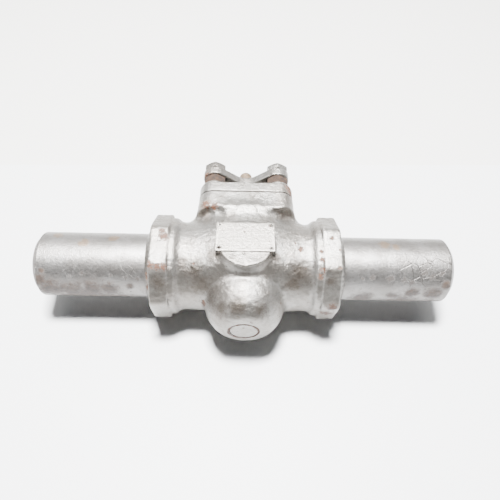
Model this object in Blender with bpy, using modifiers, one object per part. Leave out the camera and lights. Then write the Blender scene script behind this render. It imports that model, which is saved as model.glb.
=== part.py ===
"""Forged thermostatic steam trap with bolted cover, yoke-carried spindle and welded pipe nipples.

The trap lies on its back: pipe axis along X, cover towards +Y, rating plate up, floor at z = 0.
Sizes are in millimetres from the crossing of the pipe axis and the bonnet axis, the trap's centre.
"""
import math

import bmesh
import bpy
from mathutils import Matrix, Vector

MM = 0.001

# Driving dimensions, mm.
PIPE_OD = 48.3            # NPS 1 1/2
PIPE_ID = 34.0            # Schedule 160
PIPE_END = 154.8          # each end's distance from the centre
BOSS_FLATS = 73.6         # octagon across flats
BOSS_TURN = math.radians(11)   # the octagons stand turned this far about the pipe axis
BOSS_IN, BOSS_OUT = 53.0, 68.5
SOCKET_STOP = 54.0        # depth that the nipples enter to
BORE_STOP = 38.0          # blind end of each body bore
NECK_RADIUS = 33.0
BARREL_RADIUS = 36.0
DOME_RADIUS = 29.4
DOME_CENTRE = -30.6
BULGE_END = -54.5         # flat end of the domed bottom
FLANGE_HALF = 36.6
COVER_HALF = 36.2
FLANGE_CORNER = 11.0
FLANGE_BACK, FLANGE_FACE = 29.5, 45.0
COVER_IN, COVER_OUT = 45.6, 55.1
STUD_PITCH = 25.0         # each way from the centre
STUD_RADIUS = 5.0
STUD_END = 80.3
NUT_FLATS = 16.0
WASHER_RADIUS, WASHER_THICK = 10.0, 2.0
YOKE_IN, YOKE_OUT = 66.2, 73.6
YOKE_LOBE = 9.3           # radius of each lobe, round its stud
YOKE_WAIST = 21.4         # half-width at the middle of a scalloped side
SPINDLE_RADIUS = 5.25
SPINDLE_IN, SPINDLE_END = 37.5, 97.0
CHAMBER_RADIUS, CHAMBER_FLOOR = 24.0, 9.0
OUTLET_WELL_RADIUS = 9.0
PLUG_RADIUS, PLUG_IN = 10.4, -46.0
PLATE_BOSS_RADIUS, PLATE_BOSS_Y, PLATE_BOSS_TOP = 19.0, -6.0, 40.0
PLATE_LENGTH, PLATE_WIDTH, PLATE_THICK = 41.6, 24.6, 1.0
PLATE_CENTRE = (-0.5, -1.35)
VALVE_TRAVEL = 2.2        # cold and open at rest, shut after this travel
DISC_COUNT, DISC_THICK, DISC_RADIUS = 6, 0.9, 15.0
GAP = 0.3                 # between pieces that touch

BOSS_RADIUS = BOSS_FLATS / 2 / math.cos(math.pi / 8)   # to the octagon's corners
BOSS_LOWEST = BOSS_RADIUS * math.cos(math.pi / 8 - BOSS_TURN)

# The whole object's box is centred over the origin.
CENTRE = Vector((0.0, -(SPINDLE_END + BULGE_END) / 2, BOSS_LOWEST)) * MM

ALONG_Y = Matrix.Rotation(math.radians(-90), 4, "X")   # turns +Z to +Y
ALONG_X = Matrix.Rotation(math.radians(90), 4, "Y")    # turns +Z to +X
ALONG_Z = Matrix.Identity(4)


def clear_scene():
    for obj in list(bpy.data.objects):
        bpy.data.objects.remove(obj, do_unlink=True)


def new_collection(name):
    coll = bpy.data.collections.new(name)
    bpy.context.scene.collection.children.link(coll)
    return coll


def make_material(name, color, metallic, roughness):
    mat = bpy.data.materials.new(name)
    mat.use_nodes = True
    shader = mat.node_tree.nodes["Principled BSDF"]
    shader.inputs["Base Color"].default_value = (*color, 1.0)
    shader.inputs["Metallic"].default_value = metallic
    shader.inputs["Roughness"].default_value = roughness
    mat.diffuse_color = (*color, 1.0)
    return mat


def at(x=0.0, y=0.0, z=0.0):
    """World place of a point given in mm from the trap's centre."""
    return CENTRE + Vector((x, y, z)) * MM


def add_object(name, mesh, material=None, turn=ALONG_Z, place=(0, 0, 0), cutter=False):
    obj = bpy.data.objects.new(name, mesh)
    (CUTTERS if cutter else PARTS).objects.link(obj)
    obj.matrix_world = Matrix.Translation(at(*place)) @ turn
    if material:
        obj.data.materials.clear()
        obj.data.materials.append(material)
    if cutter:
        obj.hide_render = True
        obj.display_type = "WIRE"
    return obj


def turned(name, profile, material=None, turn=ALONG_Y, place=(0, 0, 0), ring=False, sides=40,
           cutter=False):
    """Profile of (radius, height) in mm, down the outer side; a ring's profile is closed."""
    mesh = bpy.data.meshes.new(name)
    verts = [(radius * MM, 0.0, height * MM) for radius, height in profile]
    edges = [(i, i + 1) for i in range(len(verts) - 1)]
    if ring:
        edges.append((len(verts) - 1, 0))
    mesh.from_pydata(verts, edges, [])
    obj = add_object(name, mesh, material, turn, place, cutter)
    screw = obj.modifiers.new("Turn", "SCREW")
    screw.steps = screw.render_steps = sides
    screw.use_merge_vertices = True
    screw.merge_threshold = 0.00001
    screw.use_smooth_shade = True
    return obj


def cylinder(name, radius, low, high, turn=ALONG_Y, place=(0, 0, 0), material=None, sides=40,
             cutter=True, phase=0.0, edge=0.0):
    """A plain cylinder or prism from low to high along its axis, with optional softened edges."""
    mesh = bpy.data.meshes.new(name)
    bm = bmesh.new()
    bmesh.ops.create_cone(bm, cap_ends=True, segments=sides, radius1=radius * MM,
                          radius2=radius * MM, depth=(high - low) * MM,
                          matrix=Matrix.Translation((0, 0, (high + low) / 2 * MM))
                          @ Matrix.Rotation(phase, 4, "Z"))
    bm.to_mesh(mesh)
    bm.free()
    obj = add_object(name, mesh, material, turn, place, cutter)
    if edge:
        bevel = obj.modifiers.new("Edge", "BEVEL")
        bevel.width = edge * MM
        bevel.segments = 2
        bevel.limit_method = "ANGLE"
        bevel.angle_limit = math.radians(60)
    return obj


def rounded_plate(name, half, low, high, corner, material=None, cutter=False):
    """A square plate across Y, with the four corners rounded."""
    mesh = bpy.data.meshes.new(name)
    bm = bmesh.new()
    size = Vector((2 * half, high - low, 2 * half)) * MM
    bmesh.ops.create_cube(bm, size=1.0, matrix=Matrix.Translation((0, (low + high) / 2 * MM, 0))
                          @ Matrix.Diagonal((*size, 1.0)))
    along_y = [e for e in bm.edges
               if abs(e.verts[0].co.x - e.verts[1].co.x) + abs(e.verts[0].co.z - e.verts[1].co.z) < 1e-6]
    bmesh.ops.bevel(bm, geom=along_y, offset=corner * MM, segments=6, profile=0.5, affect="EDGES")
    bm.to_mesh(mesh)
    bm.free()
    return add_object(name, mesh, material, cutter=cutter)


def combine(obj, other, operation):
    mod = obj.modifiers.new(f"{operation.title()} {other.name}", "BOOLEAN")
    mod.operation = operation
    mod.solver = "EXACT"
    mod.object = other


def shaded(obj, degrees=35):
    """A plain mesh of what the modifiers make, smooth except at sharp edges."""
    graph = bpy.context.evaluated_depsgraph_get()
    mesh = bpy.data.meshes.new_from_object(obj.evaluated_get(graph))
    obj.modifiers.clear()
    obj.data = mesh
    mesh.shade_smooth()
    mesh.set_sharp_from_angle(angle=math.radians(degrees))
    return obj


def slanted_hole(name, start, end, radius):
    """A drilled passage in the plane of both axes, from start to end."""
    a, b = Vector((*start, 0)), Vector((*end, 0))
    turn = Vector((0, 0, 1)).rotation_difference(b - a).to_matrix().to_4x4()
    return cylinder(name, radius, 0, (b - a).length, turn, (a.x, a.y, 0), sides=24)


def make_body():
    """The forging: barrel, cross neck, octagon bosses, flange, dome and plate boss, then its bores."""
    body = cylinder("body", BARREL_RADIUS, -6, FLANGE_BACK + 2, material=PAINT, sides=56, cutter=False)

    fillet = [(BOSS_IN + 2, 36.2), (BOSS_IN - 1.5, 36.2), (48.8, 34.8), (45.0, 33.5),
              (40.0, NECK_RADIUS)]
    half = [(radius, x) for x, radius in fillet]
    neck = [(0, BOSS_IN + 2)] + half + [(r, -x) for r, x in reversed(half)] + [(0, -BOSS_IN - 2)]
    adds = [turned("neck_form", neck, turn=ALONG_X, cutter=True, sides=56)]
    for side in (-1, 1):
        low, high = sorted((side * BOSS_IN, side * BOSS_OUT))
        adds.append(cylinder("boss_form", BOSS_RADIUS, low, high, ALONG_X, sides=8,
                             phase=math.pi / 8 + BOSS_TURN, edge=1.2))

    flat_radius = math.sqrt(DOME_RADIUS ** 2 - (DOME_CENTRE - BULGE_END) ** 2)
    last = math.atan2(BULGE_END - DOME_CENTRE, flat_radius)
    arc = [(DOME_RADIUS * math.cos(last * i / 6), DOME_CENTRE + DOME_RADIUS * math.sin(last * i / 6))
           for i in range(7)]
    adds.append(turned("dome_form", [(0, 0), (DOME_RADIUS, 0)] + arc + [(0, BULGE_END)], cutter=True,
                       sides=56))
    adds.append(rounded_plate("flange_form", FLANGE_HALF, FLANGE_BACK, FLANGE_FACE, FLANGE_CORNER,
                              cutter=True))
    adds.append(cylinder("plate_boss_form", PLATE_BOSS_RADIUS, 10, PLATE_BOSS_TOP, ALONG_Z,
                         (0, PLATE_BOSS_Y, 0), sides=48))
    for form in adds:
        combine(body, form, "UNION")

    over = 5.0
    cuts = [cylinder("chamber_cut", CHAMBER_RADIUS, CHAMBER_FLOOR, FLANGE_FACE + over),
            cylinder("gasket_cut", 29.8, FLANGE_FACE - 1.2, FLANGE_FACE + over),
            cylinder("well_cut", OUTLET_WELL_RADIUS, BULGE_END - over, CHAMBER_FLOOR + over, sides=32),
            cylinder("plug_cut", PLUG_RADIUS + GAP, BULGE_END - over, PLUG_IN + GAP, sides=32)]
    for side in (-1, 1):
        socket = sorted((side * (BOSS_OUT + over), side * SOCKET_STOP))
        bore = sorted((side * (BOSS_OUT + over), side * BORE_STOP))
        cuts.append(cylinder("socket_cut", PIPE_OD / 2 + GAP, *socket, ALONG_X))
        cuts.append(cylinder("bore_cut", PIPE_ID / 2, *bore, ALONG_X))
    cuts.append(slanted_hole("inlet_passage_cut", (-44, 6), (-20, 23.5), 7.0))
    cuts.append(slanted_hole("outlet_passage_cut", (44, 0), (0, -26), 7.5))
    for x, z in stud_places():
        cuts.append(cylinder("stud_cut", STUD_RADIUS + GAP, FLANGE_FACE - 14.0, FLANGE_FACE + over,
                             place=(x, 0, z), sides=20))
    for form in cuts:
        combine(body, form, "DIFFERENCE")
    shaded(body)


def stud_places():
    return [(sx * STUD_PITCH, sz * STUD_PITCH) for sx, sz in ((-1, 1), (1, 1), (1, -1), (-1, -1))]


def make_pipes():
    """Nipples with weld-prep ends, entered into the sockets, and the fillet welds round them."""
    outer, inner = PIPE_OD / 2, PIPE_ID / 2
    stop, end = SOCKET_STOP + GAP, PIPE_END
    pipe = [(inner, end), (inner + 2.5, end), (outer, end - 3.6), (outer, stop), (inner, stop)]
    low, high = BOSS_OUT + GAP, BOSS_OUT + 4.0
    bead = [(outer + GAP, high), (outer + 1.4, high), (29.0, low + 1.6), (30.5, low), (outer + GAP, low)]
    for name, side in (("inlet", -1), ("outlet", 1)):
        turn = ALONG_X if side > 0 else Matrix.Rotation(math.radians(-90), 4, "Y")
        shaded(turned(f"{name}_nipple", pipe, PIPE_STEEL, turn, ring=True))
        shaded(turned(f"{name}_weld", bead, PAINT, turn, ring=True))


def make_bottom_plug():
    plug = [(0, PLUG_IN), (PLUG_RADIUS, PLUG_IN), (PLUG_RADIUS, BULGE_END), (0, BULGE_END)]
    shaded(turned("bottom_plug", plug, PAINT, sides=32))


def make_cover():
    """Square cover with its locating spigot, packing box hub and gland."""
    cover = rounded_plate("cover", COVER_HALF, COVER_IN, COVER_OUT, FLANGE_CORNER, PAINT)
    combine(cover, cylinder("spigot_form", 23.4, 39.0, COVER_IN + 1), "UNION")
    combine(cover, cylinder("hub_form", 12.0, COVER_OUT - 1, 60.0, sides=32), "UNION")
    combine(cover, cylinder("packing_cut", 9.0, 49.0, 65.0, sides=32), "DIFFERENCE")
    combine(cover, cylinder("spindle_cut", SPINDLE_RADIUS + GAP, 30.0, 55.0, sides=32), "DIFFERENCE")
    for x, z in stud_places():
        hole = cylinder("clearance_cut", STUD_RADIUS + 0.5, 40.0, 60.0, place=(x, 0, z), sides=20)
        combine(cover, hole, "DIFFERENCE")
    shaded(cover)

    low, high = FLANGE_FACE - 1.2 + GAP, COVER_IN - GAP
    gasket = [(29.4, high), (29.4, low), (24.6, low), (24.6, high)]
    shaded(turned("cover_gasket", gasket, GRAPHITE, ring=True))
    inner = SPINDLE_RADIUS + GAP
    packing = [(8.7, 55.2), (8.7, 49.3), (inner, 49.3), (inner, 55.2)]
    shaded(turned("gland_packing", packing, GRAPHITE, ring=True, sides=32))

    gland = cylinder("gland_nut", 22 / 2 / math.cos(math.pi / 6), 60.3, 65.7, material=STEEL, sides=6,
                     cutter=False)
    combine(gland, cylinder("gland_shank_form", 8.7, 55.5, 61.0, sides=32), "UNION")
    combine(gland, cylinder("gland_bore_cut", inner, 50.0, 70.0, sides=32), "DIFFERENCE")
    shaded(gland)


def hex_nut(name, flats, height, bore, material):
    """A nut from z = 0 up, with both ends of its corners turned off."""
    corner = flats / 2 / math.cos(math.pi / 6)
    nut = cylinder(name, corner, 0, height, ALONG_Z, material=material, sides=6, cutter=False)
    crown = flats / 2 * 0.96
    drop = (corner - crown) * 0.5
    blank = [(0, height), (crown, height), (corner + 0.1, height - drop), (corner + 0.1, drop),
             (crown, 0), (0, 0)]
    combine(nut, turned("nut_blank", blank, turn=ALONG_Z, cutter=True, sides=24), "INTERSECT")
    combine(nut, cylinder("nut_bore_cut", bore, -5, height + 5, ALONG_Z, sides=20), "DIFFERENCE")
    return shaded(nut)


def make_fasteners():
    """Studs through flange, cover and yoke, with a washer and two nuts on each."""
    height = YOKE_IN - GAP - (COVER_OUT + GAP + WASHER_THICK + GAP)
    cover_nut = hex_nut("cover_nut_1", NUT_FLATS, height, STUD_RADIUS + GAP, RUSTY)
    yoke_nut = hex_nut("yoke_nut_1", NUT_FLATS, 5.4, STUD_RADIUS + GAP, PAINT)
    inner, low = STUD_RADIUS + 0.5, COVER_OUT + GAP
    washer = [(WASHER_RADIUS, WASHER_THICK), (WASHER_RADIUS, 0), (inner, 0), (inner, WASHER_THICK)]
    washer = shaded(turned("cover_washer_1", washer, PAINT, ALONG_Z, ring=True, sides=24))
    low_stud = FLANGE_FACE - 13.5
    stud = [(0, STUD_END), (STUD_RADIUS - 0.8, STUD_END), (STUD_RADIUS, STUD_END - 0.8),
            (STUD_RADIUS, low_stud + 0.8), (STUD_RADIUS - 0.8, low_stud), (0, low_stud)]
    stud = shaded(turned("stud_1", stud, RUSTY, sides=20))
    for number, (x, z) in enumerate(stud_places(), 1):
        for first, level in ((cover_nut, low + WASHER_THICK + GAP), (yoke_nut, YOKE_OUT + GAP),
                             (washer, low), (stud, 0.0)):
            copy = first
            if number > 1:
                copy = add_object(first.name.replace("_1", f"_{number}"), first.data)
            copy.matrix_world = Matrix.Translation(at(x, level, z)) @ ALONG_Y


def arc_points(centre, radius, start, end, count):
    """Points on an arc, angles in radians."""
    angles = [start + (end - start) * i / count for i in range(count + 1)]
    return [(centre[0] + radius * math.cos(a), centre[1] + radius * math.sin(a)) for a in angles]


def yoke_outline():
    """Four lobes round the studs, joined by scallops that are tangent to them."""
    scallop = 11.0
    lobe, hollow = Vector((STUD_PITCH, STUD_PITCH)), Vector((0.0, YOKE_WAIST + scallop))
    span = hollow - lobe
    lean = math.asin((YOKE_LOBE + scallop) / span.length)
    tangent = math.atan2(span.y, span.x) + lean
    leave = tangent - math.pi / 2
    points = []
    for quarter in range(4):
        turn = Matrix.Rotation(quarter * math.pi / 2, 2)
        arc = arc_points(lobe, YOKE_LOBE, math.pi / 2 - leave, leave, 10)
        dip = arc_points(hollow, scallop, leave + math.pi, 2 * math.pi - leave, 6)
        points += [turn @ Vector(p) for p in arc + dip]
    return points


def make_yoke():
    """The lobed plate that carries the spindle, cut for the studs and the spindle thread."""
    curve = bpy.data.curves.new("yoke_outline", "CURVE")
    curve.dimensions = "2D"
    curve.fill_mode = "BOTH"
    curve.extrude = (YOKE_OUT - YOKE_IN) / 2 * MM
    outline = yoke_outline()
    spline = curve.splines.new("POLY")
    spline.points.add(len(outline) - 1)
    for point, place in zip(spline.points, outline):
        point.co = (place.x * MM, place.y * MM, 0.0, 1.0)
    spline.use_cyclic_u = True
    guide = add_object("yoke_guide", curve, turn=ALONG_Y, place=(0, (YOKE_IN + YOKE_OUT) / 2, 0))
    graph = bpy.context.evaluated_depsgraph_get()
    mesh = bpy.data.meshes.new_from_object(guide.evaluated_get(graph))
    bm = bmesh.new()
    bm.from_mesh(mesh)
    bmesh.ops.remove_doubles(bm, verts=bm.verts, dist=0.00001)
    bm.to_mesh(mesh)
    bm.free()
    yoke = add_object("yoke_plate", mesh, PAINT)
    yoke.matrix_world = guide.matrix_world.copy()
    bpy.data.objects.remove(guide, do_unlink=True)
    for x, z in stud_places():
        hole = cylinder("yoke_stud_cut", STUD_RADIUS + 0.5, 60, 80, place=(x, 0, z), sides=20)
        combine(yoke, hole, "DIFFERENCE")
    combine(yoke, cylinder("yoke_thread_cut", SPINDLE_RADIUS + GAP, 60, 80, sides=32), "DIFFERENCE")
    shaded(yoke)


def make_spindle():
    """Spindle with a domed outer end, and the foot that slides with it without turning."""
    dome = [(SPINDLE_RADIUS * math.sin(a), SPINDLE_END - 3.0 * (1 - math.cos(a)))
            for a in (math.radians(15 * i) for i in range(7))]
    spindle = dome + [(SPINDLE_RADIUS, SPINDLE_IN), (0, SPINDLE_IN)]
    shaded(turned("spindle", spindle, BARE, sides=32))
    foot, inner = 8.0, SPINDLE_RADIUS + GAP
    pad = [(inner, 38.7), (foot, 38.7), (foot, 34.5), (foot - 1, 33.5), (0, 33.5), (0, SPINDLE_IN - GAP),
           (inner, SPINDLE_IN - GAP)]
    shaded(turned("thrust_pad", pad + [pad[0]], STEEL, sides=32))


def make_strainer():
    """Round screen from the chamber floor to the cover's spigot, with upright slots."""
    low, high = CHAMBER_FLOOR + GAP, 38.7
    tube = [(20.3, high), (20.3, low), (19.3, low), (19.3, high)]
    screen = turned("strainer_screen", tube, STAINLESS, ring=True, sides=48)
    slots = 10
    for i in range(slots):
        angle = math.radians(360 / slots * (i + 0.5))
        mesh = bpy.data.meshes.new("slot_cut")
        bm = bmesh.new()
        size = Matrix.Diagonal((6 * MM, 4.0 * MM, 18 * MM, 1))
        bmesh.ops.create_cube(bm, size=1.0, matrix=Matrix.Translation((20 * MM, 0, 24 * MM)) @ size)
        bm.to_mesh(mesh)
        bm.free()
        slot = add_object("slot_cut", mesh, turn=ALONG_Y @ Matrix.Rotation(angle, 4, "Z"), cutter=True)
        combine(screen, slot, "DIFFERENCE")
    shaded(screen)


def make_valve():
    """Seat, valve on its stem, the stack of bimetal discs above the seat, and the stack nut."""
    orifice, top = 5.0, 13.0
    face = CHAMBER_FLOOR + 1.3
    seat = [(orifice, top), (11.0, top), (11.0, face), (OUTLET_WELL_RADIUS - GAP, face),
            (OUTLET_WELL_RADIUS - GAP, -4.0), (orifice + 1.5, -4.0), (orifice, -2.5)]
    shaded(turned("valve_seat", seat, STAINLESS, ring=True, sides=32))
    gasket = [(11.0, face - GAP), (11.0, CHAMBER_FLOOR + GAP), (9.2, CHAMBER_FLOOR + GAP),
              (9.2, face - GAP)]
    shaded(turned("seat_gasket", gasket, GRAPHITE, ring=True, sides=32))

    stem = 2.5
    stack_top = top + DISC_COUNT * (DISC_THICK + GAP)
    stem_end = stack_top + GAP + 4.0 + 1.4
    head = -4.0 - GAP - VALVE_TRAVEL
    valve = [(0, stem_end), (stem - 0.5, stem_end), (stem, stem_end - 0.5), (stem, head + 1.5),
             (orifice - 0.3, head + 1.5), (6.8, head), (6.8, head - 3.0), (4.0, head - 5.0), (0, head - 5.0)]
    shaded(turned("valve", valve, STAINLESS, sides=24))
    for i in range(DISC_COUNT):
        low = top + GAP + i * (DISC_THICK + GAP)
        high = low + DISC_THICK
        disc = [(DISC_RADIUS, high), (DISC_RADIUS, low), (stem + 0.4, low), (stem + 0.4, high)]
        shaded(turned(f"bimetal_disc_{i + 1}", disc, BIMETAL, ring=True, sides=32))
    nut = hex_nut("stack_nut", 10.0, 4.0, stem + GAP, STAINLESS)
    nut.matrix_world = Matrix.Translation(at(0, stack_top + GAP, 0)) @ ALONG_Y


def make_rating_plate():
    """Blank plate with a hole in each corner, and the bead that tacks it down."""
    low = PLATE_BOSS_TOP + GAP
    mesh = bpy.data.meshes.new("rating_plate")
    bm = bmesh.new()
    size = Matrix.Diagonal((PLATE_LENGTH * MM, PLATE_WIDTH * MM, PLATE_THICK * MM, 1))
    bmesh.ops.create_cube(bm, size=1.0, matrix=size)
    bm.to_mesh(mesh)
    bm.free()
    x, y = PLATE_CENTRE
    plate = add_object("rating_plate", mesh, PAINT, place=(x, y, low + PLATE_THICK / 2))
    for sx in (-1, 1):
        for sy in (-1, 1):
            hole = (x + sx * (PLATE_LENGTH / 2 - 2.6), y + sy * (PLATE_WIDTH / 2 - 2.4), 0)
            combine(plate, cylinder("plate_hole_cut", 1.25, 30, 50, ALONG_Z, hole, sides=16),
                    "DIFFERENCE")
    shaded(plate)
    edge = y - PLATE_WIDTH / 2
    bead = [(0, low + 0.9), (0.9, low + 0.6), (1.2, low), (0, low)]
    shaded(turned("plate_tack", bead, PAINT, ALONG_Z, (-1.6, edge - 1.2 - GAP, 0), sides=16))


clear_scene()
PARTS = new_collection("steam_trap")
CUTTERS = new_collection("cutters")
PAINT = make_material("silver_paint", (0.62, 0.61, 0.59), 0.45, 0.45)
PIPE_STEEL = make_material("painted_pipe", (0.52, 0.51, 0.50), 0.4, 0.5)
RUSTY = make_material("rusty_steel", (0.25, 0.13, 0.08), 0.3, 0.8)
BARE = make_material("brown_steel", (0.20, 0.16, 0.13), 0.6, 0.5)
STEEL = make_material("machined_steel", (0.45, 0.45, 0.46), 0.9, 0.35)
STAINLESS = make_material("stainless_steel", (0.60, 0.60, 0.61), 0.95, 0.28)
BIMETAL = make_material("bimetal_strip", (0.55, 0.52, 0.45), 0.9, 0.35)
GRAPHITE = make_material("graphite_packing", (0.06, 0.06, 0.065), 0.1, 0.7)

make_body()
make_pipes()
make_bottom_plug()
make_cover()
make_fasteners()
make_yoke()
make_spindle()
make_strainer()
make_valve()
make_rating_plate()
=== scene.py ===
import math

import bmesh
import bpy
import numpy as np
from mathutils import Matrix, Vector


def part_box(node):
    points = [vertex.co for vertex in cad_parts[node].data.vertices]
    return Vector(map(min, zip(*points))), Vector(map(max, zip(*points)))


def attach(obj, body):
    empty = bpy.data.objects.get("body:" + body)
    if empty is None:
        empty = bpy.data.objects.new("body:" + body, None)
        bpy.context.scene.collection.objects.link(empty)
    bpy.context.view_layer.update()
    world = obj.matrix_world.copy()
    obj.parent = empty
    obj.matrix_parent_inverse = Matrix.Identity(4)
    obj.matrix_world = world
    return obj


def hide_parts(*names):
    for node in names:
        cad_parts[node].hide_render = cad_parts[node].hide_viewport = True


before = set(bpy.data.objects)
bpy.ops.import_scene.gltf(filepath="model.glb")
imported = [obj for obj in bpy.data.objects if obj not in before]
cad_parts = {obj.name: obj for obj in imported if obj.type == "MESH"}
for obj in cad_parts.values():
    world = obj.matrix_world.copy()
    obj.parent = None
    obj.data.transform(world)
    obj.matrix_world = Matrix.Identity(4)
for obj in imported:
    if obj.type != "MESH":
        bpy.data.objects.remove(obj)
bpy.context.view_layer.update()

# The looks of a forged steam trap in old silver paint. Lengths are in mm from the trap's centre,
# where the pipe axis (X) crosses the bonnet axis (Y), and are turned to metres as meshes are made.
MM = 0.001
pipe_low, pipe_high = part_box("inlet_nipple")
CENTRE = Vector((0, (pipe_low[1] + pipe_high[1]) / 2, (pipe_low[2] + pipe_high[2]) / 2))


def span(node):
    """Lowest and highest corner of a CAD node."""
    return [np.array((Vector(corner) - CENTRE) / MM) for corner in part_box(node)]


def at(x, y, z):
    """A place in metres in the frame."""
    return CENTRE + Vector((x, y, z)) * MM


GAP = 0.3                                      # left between pieces that touch
PIPE_RADIUS = span("inlet_nipple")[1][1]
PIPE_END = span("outlet_nipple")[1][0]
PIPE_STOP = span("outlet_nipple")[0][0]
PIPE_BORE = 17.0
BOSS_TURN = math.radians(11)                   # the octagons stand turned about the pipe axis
BOSS_HALF = -span("body")[0][2] * math.cos(math.pi / 8) / math.cos(math.pi / 8 - BOSS_TURN)
BOSS_END = span("body")[1][0]
BULGE_END = span("body")[0][1]
BOSS_TOP = span("body")[1][2]
FLANGE_FACE = span("body")[1][1]
FLANGE_HALF = 36.6
FLANGE_BACK = 29.5
SQUARE_CORNER = 11                             # corner radius of flange and cover
NECK_RADIUS = 33.0                             # outside, between the bosses and the barrel
BARREL_RADIUS = 36.0
DOME_RADIUS, DOME_CENTRE = 29.4, -30.6
PLATE_BOSS_RADIUS, PLATE_BOSS_Y = 19.0, -6.0
CHAMBER_RADIUS = 24
STUD_CLEARANCE = 0.5
COVER_LOW, COVER_HIGH = span("cover")
COVER_HALF = COVER_HIGH[0]
COVER_FACE, COVER_BACK = FLANGE_FACE + 2 * GAP, span("cover_washer_1")[0][1] - GAP
SPINDLE_RADIUS = span("spindle")[1][0]
STUD_PITCH = (span("stud_2")[0][0] + span("stud_2")[1][0]) / 2
STUD_RADIUS = (span("stud_2")[1][0] - span("stud_2")[0][0]) / 2
YOKE_LOW, YOKE_HIGH = span("yoke_plate")
PLATE_LOW, PLATE_HIGH = span("rating_plate")
STUDS = [(-1, 1), (1, 1), (1, -1), (-1, -1)]   # corners in the order that the studs are numbered


# ---- Meshes ----------------------------------------------------------------------------------

def add_mesh(name, verts, faces):
    """An object from points in mm."""
    mesh = bpy.data.meshes.new(name)
    mesh.from_pydata([at(*v) for v in verts], [], [list(f) for f in faces])
    bm = bmesh.new()
    bm.from_mesh(mesh)
    bmesh.ops.remove_doubles(bm, verts=bm.verts, dist=1e-6)
    bmesh.ops.recalc_face_normals(bm, faces=bm.faces)
    bm.to_mesh(mesh)
    bm.free()
    obj = bpy.data.objects.new(name, mesh)
    bpy.context.scene.collection.objects.link(obj)
    return obj


def settle(obj, sharp=40):
    """Turns the object's modifiers into plain mesh, smooth except over sharp edges."""
    graph = bpy.context.evaluated_depsgraph_get()
    mesh = bpy.data.meshes.new_from_object(obj.evaluated_get(graph))
    obj.modifiers.clear()
    obj.data = mesh
    mesh.shade_smooth()
    mesh.set_sharp_from_angle(angle=math.radians(sharp))
    return obj


def roughen(obj, depth, grain):
    """Moves the surface in and out by noise, as forging, casting or thick paint leaves it."""
    texture = bpy.data.textures.new(f"{obj.name}_grain_{grain}", "CLOUDS")
    texture.noise_scale = grain * MM
    texture.noise_depth = 3
    mod = obj.modifiers.new("Grain", "DISPLACE")
    mod.texture = texture
    mod.texture_coords = "LOCAL"
    mod.strength = depth * MM
    mod.mid_level = 0.5
    return obj


def cut(obj, cutters):
    """Takes the cutters away from the object."""
    for cutter in cutters:
        mod = obj.modifiers.new("Cut", "BOOLEAN")
        mod.operation = "DIFFERENCE"
        mod.solver = "EXACT"
        mod.object = cutter
    settle(obj)
    for cutter in cutters:
        bpy.data.objects.remove(cutter, do_unlink=True)


AXES = {
    "x": lambda r, c, s, h: (h, r * c, r * s),
    "-x": lambda r, c, s, h: (-h, r * s, r * c),
    "y": lambda r, c, s, h: (r * s, h, r * c),
    "z": lambda r, c, s, h: (r * c, r * s, h),
}


def turned(name, profile, axis="y", place=(0, 0, 0), sides=96, ring=False, wave=None):
    """A lathe-turned piece from (radius, height) points. wave(angle, height) changes the radius."""
    points = profile + profile[:1] if ring else profile
    verts, faces = [], []
    for radius, height in points:
        for i in range(sides):
            angle = 2 * math.pi * i / sides
            r = radius + (wave(angle, height) if wave and radius > 0 else 0)
            spot = AXES[axis](r, math.cos(angle), math.sin(angle), height)
            verts.append([a + b for a, b in zip(spot, place)])
    for row in range(len(points) - 1):
        for i in range(sides):
            j = (i + 1) % sides
            faces.append((row * sides + i, row * sides + j, (row + 1) * sides + j, (row + 1) * sides + i))
    return add_mesh(name, verts, faces)


def finer(profile, step):
    """The same profile with points no further apart than step."""
    points = []
    for (r0, h0), (r1, h1) in zip(profile, profile[1:]):
        count = max(1, math.ceil(math.hypot(r1 - r0, h1 - h0) / step))
        points += [(r0 + (r1 - r0) * i / count, h0 + (h1 - h0) * i / count) for i in range(count)]
    return points + [profile[-1]]


def rounded_corner(corner, before, after, radius, count=4):
    """Points that round a right-angled profile corner, from the side of before to that of after."""
    corner, before, after = (np.array(p, float) for p in (corner, before, after))
    back = (before - corner) / np.linalg.norm(before - corner) * radius
    on = (after - corner) / np.linalg.norm(after - corner) * radius
    heart = corner + back + on
    angles = np.linspace(0, math.pi / 2, count + 1)
    return [tuple(heart - on * math.cos(a) - back * math.sin(a)) for a in angles]


# ---- Fields: signed distances whose zero surface is a forged shape -----------------------------

def join(a, b, fillet):
    h = np.clip(fillet - np.abs(a - b), 0, None) / fillet
    return np.minimum(a, b) - h * h * fillet / 4


def meet(a, b, edge):
    return -join(-a, -b, edge)


def slab(side, along, low, high, edge):
    """A shape with that sideways distance, from low to high, its edges rounded."""
    out = np.stack([side, np.abs(along - (low + high) / 2) - (high - low) / 2]) + edge
    return np.minimum(out.max(0), 0) + np.linalg.norm(np.maximum(out, 0), axis=0) - edge


def square_side(x, z, half, corner):
    out = np.stack([np.abs(x), np.abs(z)]) - half + corner
    return np.minimum(out.max(0), 0) + np.linalg.norm(np.maximum(out, 0), axis=0) - corner


def octagon_side(y, z, half, corner):
    straight = meet(np.abs(y), np.abs(z), corner)
    return meet(straight, (np.abs(y) + np.abs(z)) * math.sqrt(0.5), corner) - half


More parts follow.
